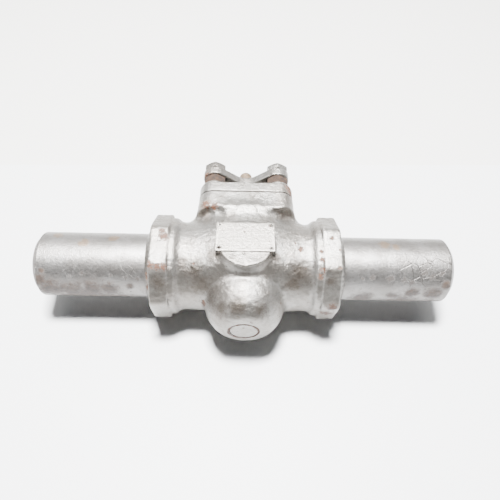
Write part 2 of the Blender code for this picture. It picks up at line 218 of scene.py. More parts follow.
def skin(name, field, low, high, step):
    """Mesh of a field's zero surface, with one vertex in each grid cell that the surface crosses."""
    axes = [np.arange(a - 2 * step, b + 3 * step, step) for a, b in zip(low, high)]
    grid = np.stack(np.meshgrid(*axes, indexing="ij"), -1)
    shape = grid.shape[:3]
    inside = (field(grid.reshape(-1, 3)) < 0).reshape(shape)
    corners = sum(inside[i:shape[0] - 1 + i, j:shape[1] - 1 + j, k:shape[2] - 1 + k].astype(int)
                  for i in (0, 1) for j in (0, 1) for k in (0, 1))
    crossed = (corners > 0) & (corners < 8)
    number = np.full(crossed.shape, -1)
    number[crossed] = np.arange(crossed.sum())
    verts = (np.argwhere(crossed) + 0.5) * step + [a[0] for a in axes]
    faces = []
    for axis in range(3):
        ahead = np.roll(inside, -1, axis)
        edge_at = np.argwhere(inside != ahead)
        edge_at = edge_at[(edge_at > 0).all(1) & (edge_at < np.array(shape) - 2).all(1)]
        a, b = np.eye(3, dtype=int)[[(axis + 1) % 3, (axis + 2) % 3]]
        around = [number[tuple((edge_at - shift).T)] for shift in (a + b, b, 0 * a, a)]
        quads = np.stack(around, 1)
        leaving = inside[tuple(edge_at.T)]
        quads[~leaving] = quads[~leaving][:, ::-1]
        faces.append(quads)
    faces = np.concatenate(faces)
    for _ in range(3):
        verts = pulled(field, relaxed(verts, faces), step)
    return add_mesh(name, pulled(field, verts, step), faces)


def relaxed(verts, faces):
    """Each vertex goes to the middle of its faces, which evens out the mesh."""
    middles = verts[faces].mean(1)
    total, count = np.zeros_like(verts), np.zeros(len(verts))
    for column in faces.T:
        np.add.at(total, column, middles)
        np.add.at(count, column, 1)
    return total / count[:, None]


def pulled(field, verts, step):
    """Newton steps onto the zero surface."""
    reach = step * 0.2
    for _ in range(3):
        slope = np.stack([field(verts + reach * d) - field(verts - reach * d) for d in np.eye(3)], 1)
        slope /= 2 * reach
        steepness = np.maximum((slope ** 2).sum(1), 0.25)
        verts = verts - slope * np.clip(field(verts) / steepness, -step, step)[:, None]
    return verts


# ---- The forging ---------------------------------------------------------------------------------

def forging(p):
    """Outside of the body: cross neck, barrel, dome, flange, octagon bosses and the plate boss."""
    x, y, z = p.T
    reach = np.abs(x)
    about_x, about_y = np.hypot(y, z), np.hypot(x, z)
    neck = about_x - NECK_RADIUS
    barrel = slab(about_y - BARREL_RADIUS, y, -20, 34, 8)
    shape = join(np.maximum(neck, reach - 56), barrel, 18)
    tube = np.sqrt(x ** 2 + z ** 2 + (y - np.clip(y, DOME_CENTRE, 0)) ** 2) - DOME_RADIUS
    dome = meet(tube, BULGE_END - y, 3.0)
    shape = join(shape, dome, 5)
    wander = 0.7 * np.sin(x * 0.23 + 1.0) * np.cos(z * 0.19) + 0.35 * np.sin(x * 0.61 + z * 0.4)
    side = square_side(x, z, FLANGE_HALF, SQUARE_CORNER)
    flange = slab(side, y, FLANGE_BACK + wander, FLANGE_FACE + 4, 1.3)
    shape = join(shape, flange, 9)
    ahead = y * math.cos(BOSS_TURN) + z * math.sin(BOSS_TURN)
    aside = z * math.cos(BOSS_TURN) - y * math.sin(BOSS_TURN)
    collar = slab(octagon_side(ahead, aside, BOSS_HALF - 1.6, 8), reach, 51, 60, 1.8)
    shape = join(shape, collar, 7)
    boss = slab(octagon_side(ahead, aside, BOSS_HALF, 2.4), reach, 55, BOSS_END, 1.4)
    shape = join(shape, boss, 1.2)
    pad = slab(np.hypot(x, y - PLATE_BOSS_Y) - PLATE_BOSS_RADIUS, z, 0, BOSS_TOP, 0.9)
    return join(shape, pad, 4)


def slanted(name, start, end, radius):
    """A drilled passage between two points of the plane of both axes."""
    a, b = Vector((*start, 0)), Vector((*end, 0))
    obj = turned(name, [(0, 0), (radius, 0), (radius, (b - a).length), (0, (b - a).length)], "z", sides=32)
    turn = Vector((0, 0, 1)).rotation_difference(b - a).to_matrix().to_4x4()
    obj.data.transform(Matrix.Translation(at(*a)) @ turn @ Matrix.Translation(-CENTRE))
    return obj


def drum(name, steps, axis="y", place=(0, 0, 0), sides=64):
    """A stepped cylinder from (radius, low, high) steps, as a drill or boring bar would cut."""
    sides_of_steps = [(r, h) for r, low, high in steps for h in (low, high)]
    profile = [(0, steps[0][1])] + sides_of_steps + [(0, steps[-1][2])]
    return turned(name, profile, axis, place, sides)


def make_body():
    low, high = span("body")
    body = skin("trap_forging", forging, low, high + [0, 6, 0], 1.0)
    roughen(body, 0.9, 14)
    roughen(body, 0.35, 3.5)
    floor, groove = span("seat_gasket")[0][1] - GAP, span("cover_gasket")[0][1] - GAP
    recess = span("bottom_plug")[1][1] + GAP
    cutters = [drum("bonnet_cut", [(span("bottom_plug")[1][0] + GAP, -80, recess), (9, recess, floor),
                                   (CHAMBER_RADIUS, floor, groove), (29.8, groove, FLANGE_FACE),
                                   (90, FLANGE_FACE, 80)])]
    for axis in ("x", "-x"):
        stop = PIPE_STOP - GAP
        cutters.append(drum("pipe_cut", [(PIPE_BORE, 38, stop), (PIPE_RADIUS + GAP, stop, 90)], axis))
    cutters.append(slanted("inlet_passage_cut", (-44, 6), (-20, 23.5), 7.0))
    cutters.append(slanted("outlet_passage_cut", (44, 0), (0, -26), 7.5))
    for sx, sz in STUDS:
        place = (sx * STUD_PITCH, 0, sz * STUD_PITCH)
        cutters.append(drum("stud_cut", [(STUD_RADIUS + GAP, FLANGE_FACE - 14, 60)], "y", place, 32))
    cut(body, cutters)
    show(body, "trap_body", "silver_paint", SILVER_PAINT, "body")


def make_pipes():
    """Nipples with weld-prep ends, and the fillet welds that hold them in the bosses."""
    bevel = [(PIPE_BORE, PIPE_END), (PIPE_BORE + 2.5, PIPE_END), (PIPE_RADIUS, PIPE_END - 3.6)]
    nose = rounded_corner(bevel[1], bevel[0], bevel[2], 0.5, 3) + rounded_corner(bevel[2], bevel[1],
                                                                            (PIPE_RADIUS, 0), 0.7, 4)
    outside = finer([(PIPE_RADIUS, PIPE_END - 4.4), (PIPE_RADIUS, PIPE_STOP)], 2.0)
    inside = finer([(PIPE_BORE, PIPE_STOP), (PIPE_BORE, PIPE_END - 0.6)], 3.0)
    profile = nose + outside + inside
    low, high = span("inlet_weld")[0][0], span("inlet_weld")[1][0]
    foot, toe = -high, -low
    throat = PIPE_RADIUS + GAP
    bead = finer([(throat, toe), (throat + 1.3, toe), (29.0, foot + 2.0), (30.6, foot), (throat, foot)], 0.5)
    for name, axis in (("inlet", "-x"), ("outlet", "x")):
        pipe = turned(f"{name}_pipe", profile, axis, sides=160, ring=True)
        roughen(pipe, 0.25, 9)
        show(settle(pipe), "trap_body", "painted_pipe", PIPE_PAINT, f"{name}_nipple")

        def ripple(angle, height):
            crest = math.sin(angle * 46 + 0.8 * math.sin(angle * 5))
            slope = min(1.0, max(0.0, (height - foot) * 0.8))
            return (0.22 * crest + 0.3 * math.sin(angle * 3 + 1)) * slope
        weld = turned(f"{name}_bead", bead, axis, sides=320, ring=True, wave=ripple)
        show(settle(weld, 60), "trap_body", "silver_paint", SILVER_PAINT, f"{name}_weld")


def make_bottom_plug():
    low, high = span("bottom_plug")
    radius, face, back = high[0], low[1], high[1]
    rim = rounded_corner((radius, face), (0, face), (radius, back), 0.8)
    profile = finer([(0, face + 0.15), (radius * 0.6, face + 0.1)] + rim[:1], 0.7) + rim[1:]
    plug = turned("dome_plug", profile + [(radius, back), (0, back)], "y", sides=72)
    roughen(plug, 0.3, 5)
    show(settle(plug), "trap_body", "silver_paint", SILVER_PAINT, "bottom_plug")


def cover_field(p):
    """Square plate with a hub for the gland outside and a spigot into the chamber inside."""
    x, y, z = p.T
    about = np.hypot(x, z)
    plate = slab(square_side(x, z, COVER_HALF, SQUARE_CORNER), y, COVER_FACE, COVER_BACK, 0.9)
    hub = slab(about - 12, y, 50, COVER_HIGH[1], 0.9)
    return join(join(plate, hub, 2), slab(about - 23.4, y, COVER_LOW[1], 50, 0.5), 0.6)


def make_cover():
    cover = skin("bolted_cover", cover_field, COVER_LOW, COVER_HIGH, 0.8)
    roughen(cover, 0.5, 9)
    cutters = [drum("gland_cut", [(SPINDLE_RADIUS + GAP, 30, 49), (9, 49, 70)])]
    for sx, sz in STUDS:
        place = (sx * STUD_PITCH, 0, sz * STUD_PITCH)
        cutters.append(drum("clearance_cut", [(STUD_RADIUS + STUD_CLEARANCE, 40, 60)], "y", place, 48))
    cut(cover, cutters)
    show(cover, "trap_body", "silver_paint", SILVER_PAINT, "cover")


def yoke_field(p):
    """Lobes round the studs, joined by scallops that lean in towards the spindle."""
    x, y, z = p.T
    lean, scallop, centre = math.radians(55), 11.0, 32.4
    side = square_side(x, z, YOKE_HIGH[0], YOKE_HIGH[0] - STUD_PITCH)
    for across, out in ((np.abs(x), np.abs(z) - centre), (np.abs(z), np.abs(x) - centre)):
        past = across * math.sin(lean) + out * math.cos(lean)
        beside = across * math.cos(lean) - out * math.sin(lean)
        side = meet(side, scallop - np.where(past > 0, beside, np.hypot(across, out)), 1.5)
    return slab(side, y, YOKE_LOW[1], YOKE_HIGH[1], 1.1)


def make_yoke():
    yoke = skin("spindle_yoke", yoke_field, YOKE_LOW, YOKE_HIGH, 0.7)
    roughen(yoke, 0.6, 8)
    cutters = [drum("thread_cut", [(SPINDLE_RADIUS + GAP, 60, 80)])]
    for sx, sz in STUDS:
        place = (sx * STUD_PITCH, 0, sz * STUD_PITCH)
        cutters.append(drum("stud_cut", [(STUD_RADIUS + STUD_CLEARANCE, 60, 80)], "y", place, 48))
    cut(yoke, cutters)
    show(yoke, "trap_body", "silver_paint", SILVER_PAINT, "yoke_plate")


def hex_nut(name, node, bore, edge=0.35):
    """A hexagon nut in the CAD nut's place, its corners turned off at both ends."""
    low, high = span(node)
    middle, (flats, _, corners) = (low + high) / 2, high - low
    verts = [(middle[0] + corners / 2 * math.sin(math.radians(60 * i)), y,
              middle[2] + corners / 2 * math.cos(math.radians(60 * i)))
             for y in (low[1], high[1]) for i in range(6)]
    faces = [list(range(6)), list(range(6, 12))]
    faces += [(i, (i + 1) % 6, (i + 1) % 6 + 6, i + 6) for i in range(6)]
    nut = add_mesh(name, verts, faces)
    crown, drop = flats * 0.475, (corners - flats) * 0.3
    blank = [(0, low[1]), (crown, low[1]), (corners / 2 + 0.05, low[1] + drop),
             (corners / 2 + 0.05, high[1] - drop), (crown, high[1]), (0, high[1])]
    place = (middle[0], 0, middle[2])
    for shape, operation in ((turned("crown", blank, "y", place, 64), "INTERSECT"),
                             (drum("bore", [(bore, low[1] - 1, high[1] + 1)], "y", place, 48), "DIFFERENCE")):
        mod = nut.modifiers.new("Shape", "BOOLEAN")
        mod.operation, mod.solver, mod.object = operation, "EXACT", shape
        settle(nut)
        bpy.data.objects.remove(shape, do_unlink=True)
    soft = nut.modifiers.new("Edges", "BEVEL")
    soft.width, soft.segments, soft.limit_method = edge * MM, 2, "ANGLE"
    return settle(nut)


def thread(start, end, pitch=1.5, depth=0.75, lead=1.5):
    """Change of radius along a screw thread, fading out at both ends."""
    def wave(angle, height):
        place = (height / pitch - angle / (2 * math.pi)) % 1.0
        fade = min(1.0, max(0.0, (height - start) / lead), max(0.0, (end - height) / lead))
        return -depth * fade * min(1.0, max(0.0, abs(place * 2 - 1) * 1.3 - 0.15))
    return wave


def make_fasteners():
    for number, (sx, sz) in enumerate(STUDS, 1):
        for kind, name, material, slot in (("cover_nut", "inner_hex_nut", RUST_AND_SHADE_STEEL, "rusty_steel"),
                                           ("yoke_nut", "outer_hex_nut", SILVER_PAINT, "silver_paint")):
            node = f"{kind}_{number}"
            show(hex_nut(f"{name}_{number}", node, STUD_RADIUS + GAP), "trap_body", slot, material, node)
        place = (sx * STUD_PITCH, 0, sz * STUD_PITCH)
        low, high = span(f"cover_washer_{number}")
        outer, inner = (high[0] - low[0]) / 2, STUD_RADIUS + STUD_CLEARANCE
        profile = (rounded_corner((outer, high[1]), (inner, high[1]), (outer, low[1]), 0.5)
                   + rounded_corner((outer, low[1]), (outer, high[1]), (inner, low[1]), 0.3)
                   + [(inner, low[1]), (inner, high[1])])
        washer = turned(f"flat_washer_{number}", profile, "y", place, 96, ring=True)
        roughen(washer, 0.15, 3)
        show(settle(washer), "trap_body", "silver_paint", SILVER_PAINT, f"cover_washer_{number}")
        low, high = span(f"stud_{number}")
        profile = [(0, high[1]), (STUD_RADIUS - 1.1, high[1])]
        profile += finer([(STUD_RADIUS, high[1] - 0.9), (STUD_RADIUS, low[1] + 0.9)], 0.25)
        profile += [(STUD_RADIUS - 1.1, low[1]), (0, low[1])]
        wave = thread(low[1] + 1, high[1] - 0.3)
        stud = turned(f"threaded_stud_{number}", profile, "y", place, 48, wave=wave)
        show(settle(stud, 60), "trap_body", "rusty_steel", RUST_AND_SHADE_STEEL, f"stud_{number}")


def make_spindle():
    """Threaded where it passes the yoke, plain below in the gland, with a domed outer end."""
    low, high = span("spindle")
    angles = [math.radians(7.5 * i) for i in range(13)]
    crown = [(SPINDLE_RADIUS * math.sin(a), high[1] - 3.2 * (1 - math.cos(a))) for a in angles]
    profile = crown + finer([(SPINDLE_RADIUS, high[1] - 3.6), (SPINDLE_RADIUS, low[1])], 0.25) + [(0, low[1])]
    spindle = turned("setting_spindle", profile, "y", sides=64, wave=thread(61.0, 86.0, depth=0.6))
    show(settle(spindle, 60), "spindle", "brown_steel", BROWN_STEEL, "spindle")


def make_rating_plate():
    """Thin plate with softened edges and a hole in each corner, three of them with a pressed eyelet."""
    low, high = PLATE_LOW, PLATE_HIGH
    corners = [np.where(np.array(pick) > 0, high, low) for pick in
               ((0, 0, 0), (1, 0, 0), (1, 1, 0), (0, 1, 0), (0, 0, 1), (1, 0, 1), (1, 1, 1), (0, 1, 1))]
    plate = add_mesh("marking_plate", corners, [(0, 1, 2, 3), (4, 5, 6, 7), (0, 1, 5, 4), (1, 2, 6, 5),
                                             (2, 3, 7, 6), (3, 0, 4, 7)])
    soft = plate.modifiers.new("Edges", "BEVEL")
    soft.width, soft.segments = 0.28 * MM, 3
    holes = [(low[0] + 2.6, high[1] - 2.4, 0.95), (high[0] - 2.6, high[1] - 2.4, 1.25),
             (low[0] + 2.6, low[1] + 2.4, 1.25), (high[0] - 2.6, low[1] + 2.4, 0.9)]
    cut(plate, [drum("hole_cut", [(radius, low[2] - 1, high[2] + 1)], "z", (x, y, 0), 32)
                for x, y, radius in holes])
    top = high[2]
    rings = []
    for x, y, radius in holes[1:]:
        profile = [(radius + 0.35 + 0.33 * math.cos(a), top + 0.33 * math.sin(a))
                   for a in np.linspace(0, 2 * math.pi, 11)[:-1]]
        rings.append(turned("eyelet", profile, "z", (x, y, 0), 40, ring=True))
    for ring in rings:
        settle(ring)
    with bpy.context.temp_override(active_object=plate, selected_editable_objects=[plate] + rings):
        bpy.ops.object.join()
    show(plate, "trap_body", "silver_paint", SILVER_PAINT, "rating_plate")
    low, high = span("plate_tack")
    radius, height = (high[0] - low[0]) / 2, high[2] - low[2]
    angles = [math.radians(10 * i) for i in range(10)]
    profile = [(radius * math.sin(a), low[2] + height * math.cos(a)) for a in angles] + [(0, low[2])]
    tack = turned("tack_bead", profile, "z", ((low[0] + high[0]) / 2, (low[1] + high[1]) / 2, 0), 32)
    roughen(tack, 0.2, 1.5)
    show(settle(tack), "trap_body", "silver_paint", SILVER_PAINT, "plate_tack")


def show(obj, body, slot, material, *nodes):
    obj.data.materials.clear()
    obj.data.materials.append(material)
    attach(obj, body)
    if nodes:
        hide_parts(*nodes)


def dress(node, material):
    """Gives a CAD node that stays its material and, where it shows, softened edges."""
    obj = bpy.data.objects[node]
    obj.data.materials.clear()
    obj.data.materials.append(material)
    weld = obj.modifiers.new("Weld", "WELD")
    weld.merge_threshold = 1e-6
    soft = obj.modifiers.new("Edges", "BEVEL")
    soft.width, soft.segments, soft.limit_method = 0.15 * MM, 2, "ANGLE"


# ---- Materials -----------------------------------------------------------------------------------

def linear(hex_color):
    """sRGB hex to a linear colour."""
    parts = [int(hex_color[i:i + 2], 16) / 255 for i in (1, 3, 5)]
    return tuple(c / 12.92 if c <= 0.04045 else ((c + 0.055) / 1.055) ** 2.4 for c in parts) + (1.0,)


def add(tree, kind, inputs=(), **settings):
    """Adds a node. inputs maps a socket's name or number to a value or to another node's socket."""
    node = tree.nodes.new(kind)
    for name, value in settings.items():
        setattr(node, name, value)
    for key, value in dict(inputs).items():
        if isinstance(value, bpy.types.NodeSocket):
            tree.links.new(value, node.inputs[key])
        else:
            node.inputs[key].default_value = value
    return node


def new_material(name):
    material = bpy.data.materials.new(name)
    material.use_nodes = True
    return material, material.node_tree, material.node_tree.nodes["Principled BSDF"]


def math_node(tree, operation, *values):
    """A maths node's output."""
    return add(tree, "ShaderNodeMath", dict(enumerate(values)), operation=operation).outputs[0]


def noise(tree, place, grain, detail=5.0, roughness=0.6):
    """Noise from 0 to 1 whose lumps are about grain mm across."""
    inputs = {"Vector": place, "Scale": 1000 / grain, "Detail": detail, "Roughness": roughness}
    return add(tree, "ShaderNodeTexNoise", inputs).outputs["Fac"]


def step(tree, value, low, high, smooth="SMOOTHSTEP"):
    """0 below low, 1 above high."""
    inputs = {"Value": value, "From Min": low, "From Max": high}
    return add(tree, "ShaderNodeMapRange", inputs, interpolation_type=smooth).outputs["Result"]


def mixed(tree, factor, first, second):
    """Mixes two colours, given as hex or as sockets."""
    first, second = (linear(c) if isinstance(c, str) else c for c in (first, second))
    node = add(tree, "ShaderNodeMix", {0: factor, 6: first, 7: second}, data_type="RGBA")
    return node.outputs[2]


def patches(tree, place, spots, grain, ragged=1.6, soft=0.35):
    """Cover of a stain: spots are (x, y, z, radius), and noise breaks up their borders."""
    cover = None
    for x, y, z, radius in spots:
        far = add(tree, "ShaderNodeVectorMath", {0: place, 1: at(x, y, z)}, operation="DISTANCE")
        near = math_node(tree, "MULTIPLY_ADD", far.outputs["Value"], -1 / (radius * MM), 1.0)
        cover = near if cover is None else math_node(tree, "MAXIMUM", cover, near)
    broken = math_node(tree, "MULTIPLY_ADD", noise(tree, place, grain, 7, 0.7), ragged, cover)
    return step(tree, broken, 0.5 * ragged + 0.45 - soft / 2, 0.5 * ragged + 0.45 + soft / 2)


def specks(tree, place, spacing, most, share):
    """Scattered round dots up to most mm in radius, on that share of cells spacing mm apart."""
    cells = add(tree, "ShaderNodeTexVoronoi", {"Vector": place, "Scale": 1000 / spacing})
    chance = add(tree, "ShaderNodeSeparateColor", {"Color": cells.outputs["Color"]}).outputs["Red"]
    size = step(tree, chance, 1 - share, 1.0, "LINEAR")
    size = math_node(tree, "MULTIPLY", size, most / spacing)
    return step(tree, math_node(tree, "SUBTRACT", size, cells.outputs["Distance"]), 0.0, 0.03)


def bumped(tree, shader, *layers):
    """Stacks bump layers of (height, depth in mm) on the shader."""
    normal = None
    for height, depth in layers:
        inputs = {"Height": height, "Strength": 1.0, "Distance": depth * MM}
        if normal:
            inputs["Normal"] = normal
        normal = add(tree, "ShaderNodeBump", inputs).outputs["Normal"]
    tree.links.new(normal, shader.inputs["Normal"])


def finish(tree, shader, color, metallic, roughness):
    for name, value in (("Base Color", color), ("Metallic", metallic), ("Roughness", roughness)):
        if isinstance(value, bpy.types.NodeSocket):
            tree.links.new(value, shader.inputs[name])
        else:
            shader.inputs[name].default_value = value


RUST_SPOTS = [   # where the paint has gone and rust shows
    (-58, 1, 37.5, 5.5), (-59, 5, 38, 4), (-66, -20, 33, 4.5), (-61, -21.5, 32.5, 4.5), (-56, -21, 32.5, 5),
    (-69, -22, 20, 6), (-69, -27, 12, 5), (-69, -14, 30, 4), (34.5, 50, 31, 6.5), (33, 53, 33.5, 5),
    (-30, 33, 36, 6.5), (-23.5, 31, 36.5, 5), (-31, 65, 30, 9), (54.5, -8, 35.5, 2.4), (54.5, -14, 34.5, 2.8),
    (54.5, -21, 32, 4.2), (53.5, -24, 28, 4), (67.3, -7, 36, 1.6), (66.4, -20, 33.5, 2.2), (62, 2, 38, 2.6),
    (61, -38, -4, 8), (64, -37.5, 8, 6.5), (40, -5, 32.8, 3.5), (-97, -21, 12, 3.0), (-29.5, -34, 5, 5),
    (5, -53, 14, 2.2), (-12, -23.5, 40, 2.6), (12, -23, 40, 2.6), (-35, 36, 26, 6)]
GRIME_SPOTS = [  # where dark dirt has settled into the paint
    (-36, -20, 27.5, 11), (-30, -27.5, 21, 12), (-44, -15, 29, 8), (38.5, -20, 27, 12), (34, -26, 22, 10),
    (-24, -38.5, 16, 13), (-26, -32, 19, 10), (-17, -46, 18, 9), (-5, -47, 24, 9), (12, -47, 21, 9),
    (-61, -29, 24, 9), (61, -27, 26, 6), (-29, 28, 30, 7), (29, 27, 30, 8), (-22, -12, 36, 8),
    (22, -14, 35, 6),
    (0, 34, 34, 5)]


def make_silver_paint():
    """Brushed aluminium paint, dulled and dirty, that the eye reads as a repainted old forging, with painted
    shade on its front-facing flanks and along the flange joint.
    """
    material, tree, shader = new_material("aged_aluminium_paint")
    flat = add(tree, "ShaderNodeTexCoord").outputs["Object"]
    warp = add(tree, "ShaderNodeTexNoise", {"Vector": flat, "Scale": 300.0, "Detail": 3.0}).outputs["Color"]
    place = add(tree, "ShaderNodeVectorMath", {0: warp, 1: (0.0012,) * 3, 2: flat}, operation="MULTIPLY_ADD")
    place = place.outputs["Vector"]
    color = mixed(tree, step(tree, noise(tree, place, 22), 0.38, 0.62), "#7D7872", "#8B8985")
    color = mixed(tree, step(tree, noise(tree, place, 3, 8, 0.75), 0.5, 0.72), color, "#655F5A")
    streak = add(tree, "ShaderNodeMapping", {"Vector": place, "Scale": (0.35, 1.0, 1.3)}).outputs["Vector"]
    brush = noise(tree, streak, 0.8, 3)
    color = mixed(tree, math_node(tree, "MULTIPLY", step(tree, brush, 0.45, 0.7), 0.35), color, "#979592")
    # Painted shade: faces that turn towards the front and up, about (0, -0.77, 0.64), are darkened.
    normal = add(tree, "ShaderNodeTexCoord").outputs["Normal"]
    facing = add(tree, "ShaderNodeVectorMath", {0: normal, 1: (0, -0.77, 0.64)}, operation="DOT_PRODUCT")
    facing = facing.outputs["Value"]
    flank_shade = step(tree, math_node(tree, "MULTIPLY_ADD", noise(tree, place, 7), 0.12, facing), 0.93, 1.03)
    color = mixed(tree, math_node(tree, "MULTIPLY", flank_shade, 0.6), color, "#55514B")
    grime = patches(tree, place, GRIME_SPOTS, 6, 1.3, 0.9)
    crumbs = math_node(tree, "MULTIPLY", grime, step(tree, noise(tree, place, 1.3, 7, 0.75), 0.46, 0.66))
    color = mixed(tree, math_node(tree, "MULTIPLY", grime, 0.8), color, "#48413A")
    color = mixed(tree, math_node(tree, "MULTIPLY", crumbs, 0.8), color, "#2F2925")
    # Darker in creases and hollows, where the surface turns concave.
    hollow = add(tree, "ShaderNodeNewGeometry").outputs["Pointiness"]
    crease_darkening = math_node(tree, "SUBTRACT", 1.0, step(tree, hollow, 0.42, 0.49))
    color = mixed(tree, math_node(tree, "MULTIPLY", crease_darkening, 0.7), color, "#403A34")
    axes = add(tree, "ShaderNodeSeparateXYZ", {"Vector": flat})
    joint = at(0, FLANGE_FACE + GAP, 0)[1]   # the joint line between flange and cover, where the narrow gap lies in shade
    joint_gap_shade = math_node(tree, "ABSOLUTE", math_node(tree, "SUBTRACT", axes.outputs["Y"], joint))
    # Painted shade: a dark line along that joint stands for the shadow in the gap.
    color = mixed(tree, step(tree, joint_gap_shade, 0.0013, 0.0006), color, "#1F1A17")
    high = axes.outputs["Z"]
    raised = step(tree, high, at(0, 0, 40.8)[2], at(0, 0, 41.1)[2])
    color = mixed(tree, math_node(tree, "MULTIPLY", raised, 0.8), color, "#9E9992")
    rust = patches(tree, place, RUST_SPOTS, 1.9, 2.6, 0.5)
    about = add(tree, "ShaderNodeVectorMath", {0: place, 1: at(0, 0, 0)}, operation="SUBTRACT").outputs[0]
    about = add(tree, "ShaderNodeVectorMath", {0: about, 1: (1, 0, 1)}, operation="MULTIPLY").outputs[0]
    about = add(tree, "ShaderNodeVectorMath", {0: about}, operation="LENGTH").outputs["Value"]
    ring = math_node(tree, "ABSOLUTE", math_node(tree, "SUBTRACT", about, 0.0108))
    ring = math_node(tree, "SUBTRACT", math_node(tree, "MULTIPLY", noise(tree, place, 5), 0.0022), ring)
    deep = add(tree, "ShaderNodeSeparateXYZ", {"Vector": place}).outputs["Y"]
    deep = step(tree, deep, at(0, -51, 0)[1], at(0, -53, 0)[1])
    rust = math_node(tree, "MAXIMUM", rust, math_node(tree, "MULTIPLY", step(tree, ring, 0.0, 0.0005), deep))
    rust = math_node(tree, "MAXIMUM", rust, specks(tree, place, 9, 1.1, 0.4))
    shade = mixed(tree, step(tree, noise(tree, place, 1.1, 6, 0.7), 0.35, 0.65), "#26160D", "#5E361C")
    color = mixed(tree, math_node(tree, "MULTIPLY", rust, 0.95), color, shade)
    pits = specks(tree, place, 6, 0.55, 0.35)
    color = mixed(tree, pits, color, "#2A2522")
    crust = math_node(tree, "MAXIMUM", rust, math_node(tree, "MULTIPLY", crumbs, 0.6))
    bare = math_node(tree, "SUBTRACT", 1.0, crust)
    rough = math_node(tree, "MULTIPLY_ADD", noise(tree, place, 2.2, 6), 0.3, 0.22)
    rough = math_node(tree, "MULTIPLY_ADD", crust, 0.3, rough)
    finish(tree, shader, color, math_node(tree, "MULTIPLY", bare, 0.88), rough)
    bumped(tree, shader, (noise(tree, place, 2.5, 8, 0.7), 0.55), (brush, 0.12),
           (noise(tree, place, 0.5, 3), 0.08), (math_node(tree, "SUBTRACT", 1.0, pits), 0.4),
           (math_node(tree, "SUBTRACT", 1.0, rust), 0.12))
    return material


SCALE_AND_SHADE_SPOTS = [  # bare brown mill scale under the nipples' paint, spread over their low front and underside, partly as painted shade
    (-147, -17, 17, 4), (-150, -21, 10, 11), (-142, -23.5, 3, 16), (-128, -24, 1, 17), (-112, -23.5, 2, 17),
    (-100, -23, 3, 13), (-120, -22, -10, 34), (-95, -18, -16, 26), (-84, -22, 7, 5), (110, -24, 1, 7),
    (124, -23.5, 5, 9), (140, -23.5, 4, 11), (148, -21, 12, 6), (88, -24, -4, 14), (118, -20, -13, 26),
    (144, -18, -15, 20)]
WORN_SPOTS = [   # small places where the paint has flaked to dark steel
    (-97, -19, 15, 2.6), (93, -18, 16.5, 3.4), (86, -18.5, 15.6, 2.0), (106, -18.5, 15.6, 5),
    (117, -19, 15, 4),
    (122, -20, 13.5, 4), (131, -15, 19, 4.5), (137, -17, 17, 4), (144, -15, 19, 3.5), (-78, -20.5, 12.5, 3),
    (-86, -20, 13.5, 2.5), (-118, -18, 16, 2.5), (-151, -14, 19.5, 2.2)]
TAN_SPOTS = [(104, 7, 23, 7), (112, 4, 23.7, 6), (-118, 3, 24, 7), (-98, 9, 22.5, 7), (-140, 12, 21, 7)]


def make_pipe_paint():
    """Thin silver paint over drawn pipe: smoother than the forging, scuffed through to brown scale, which
    also serves as painted shade low on the front and underneath.
    """
    material, tree, shader = new_material("scuffed_pipe_paint")
    place = add(tree, "ShaderNodeTexCoord").outputs["Object"]
    color = mixed(tree, step(tree, noise(tree, place, 16), 0.36, 0.64), "#75726F", "#878583")
    color = mixed(tree, step(tree, noise(tree, place, 2.4, 8, 0.75), 0.52, 0.74), color, "#5E5955")
    stain = patches(tree, place, TAN_SPOTS, 6)
    color = mixed(tree, math_node(tree, "MULTIPLY", stain, 0.4), color, "#8E6C44")
    along = add(tree, "ShaderNodeSeparateXYZ", {"Vector": place}).outputs["X"]
    end = math_node(tree, "ABSOLUTE", along)
    nose = step(tree, math_node(tree, "MULTIPLY_ADD", noise(tree, place, 6), 0.0022, end),
                (PIPE_END - 3.0) * MM, (PIPE_END - 1.6) * MM)
    nose = math_node(tree, "MULTIPLY", nose, step(tree, along, 0.2, -0.25, "LINEAR"))
    # Partly painted shade: the brown scale covers the nipples' low front and underside, which lie in shade.
    scale_and_shade = math_node(tree, "MAXIMUM", patches(tree, place, SCALE_AND_SHADE_SPOTS, 4, 1.3, 0.6), nose)
    tint = mixed(tree, step(tree, noise(tree, place, 3.5, 6), 0.35, 0.65), "#312722", "#483A30")
    color = mixed(tree, math_node(tree, "MULTIPLY", scale_and_shade, 0.95), color, tint)
    worn = patches(tree, place, WORN_SPOTS, 1.8, 2.2)
    cells = add(tree, "ShaderNodeTexVoronoi", {"Vector": place, "Scale": 130.0, "Randomness": 1.0},
                feature="DISTANCE_TO_EDGE").outputs["Distance"]
    flakes = patches(tree, place, [(128, -14, 19, 24), (146, -8, 21, 14), (-84, -18, 16, 10)], 7)
    split = math_node(tree, "SUBTRACT", 1.0, step(tree, cells, 0.0, 0.035))
    crack = math_node(tree, "MULTIPLY", flakes, split)
    pits = math_node(tree, "MAXIMUM", specks(tree, place, 7, 0.6, 0.35),
                     math_node(tree, "MULTIPLY", crack, 0.6))
    steel = math_node(tree, "MAXIMUM", math_node(tree, "MULTIPLY", worn, 0.8), pits)
    color = mixed(tree, steel, color, "#332D29")
    color = mixed(tree, specks(tree, place, 21, 1.3, 0.3), color, "#6C3D2B")
    paint = math_node(tree, "SUBTRACT", 1.0, math_node(tree, "MAXIMUM", scale_and_shade, worn))
    rough = math_node(tree, "MULTIPLY_ADD", noise(tree, place, 2, 6), 0.28, 0.26)
    rough = math_node(tree, "MULTIPLY_ADD", scale_and_shade, 0.15, rough)
    finish(tree, shader, color, math_node(tree, "MULTIPLY_ADD", paint, 0.78, 0.1), rough)
    bumped(tree, shader, (noise(tree, place, 1.8, 8, 0.7), 0.22), (noise(tree, place, 0.45, 3), 0.06),
           (math_node(tree, "SUBTRACT", 1.0, pits), 0.3), (paint, 0.15))
    return material


